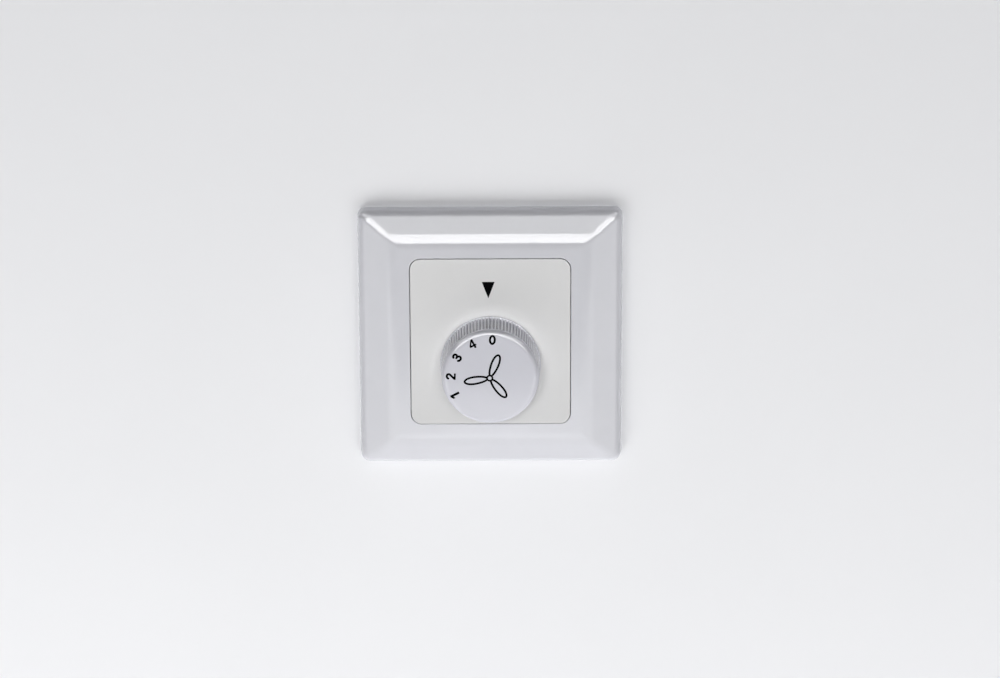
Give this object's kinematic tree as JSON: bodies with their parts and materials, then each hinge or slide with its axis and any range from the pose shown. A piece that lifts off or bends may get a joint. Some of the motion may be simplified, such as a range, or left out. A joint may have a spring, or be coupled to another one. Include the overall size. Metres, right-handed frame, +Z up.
{
  "type": "fan speed control switch",
  "caption": "Square flush wall switch with a ribbed rotary knob that steps a fan through its speeds, on a steel mounting ring with a step switch behind.",
  "frame": {"origin": "middle of the square cover frame, on the wall plane: the centre of the box screws' pattern on the mounting ring's rear face", "axes": "+Z up, +X to the right seen from the front, +Y into the wall; the front looks along -Y"},
  "size_m": [0.082, 0.0439, 0.082],
  "materials": {
    "frame_white": "moulded glossy white",
    "plate_white": "moulded satin white",
    "knob_white": "moulded semi-gloss white",
    "case_grey": "moulded dark grey thermoset",
    "rotor_nylon": "moulded natural nylon",
    "fibre": "pressed red fibre",
    "zinc_steel": "zinc-plated steel",
    "spring_steel": "spring steel",
    "brass": "turned and stamped brass",
    "bronze": "phosphor bronze strip"
  },
  "bodies": {
    "housing": {"cover_frame": "frame_white", "centre_plate": "plate_white", "threaded_bush": "brass", "lock_washer": "zinc_steel", "bush_nut": "brass", "plate_nut": "brass", "plate_washer": "fibre", "mounting_ring": "zinc_steel", "switch_cover": "case_grey", "switch_base": "case_grey", "detent_spring": "spring_steel", "contact_speed_1": "brass", "contact_speed_2": "brass", "contact_speed_3": "brass", "contact_speed_4": "brass", "contact_common": "brass", "terminal_clamps": "zinc_steel", "terminal_screws": "brass", "case_screws": "zinc_steel", "ring_screws": "zinc_steel"},
    "dial": {"knob": "knob_white", "knob_spring_clip": "spring_steel", "spindle": "zinc_steel", "retaining_ring": "spring_steel", "index_wheel": "rotor_nylon", "contact_rotor": "rotor_nylon", "wiper_contact": "bronze"}
  },
  "joints": [
    {"name": "knob_turn", "type": "hinge", "parent": "housing", "child": "dial", "pos_m": [0, -0.0152, -0.00731], "axis": [0, 1, 0], "range_deg": [0, 120], "deforming": ["detent_spring"]}
  ]
}
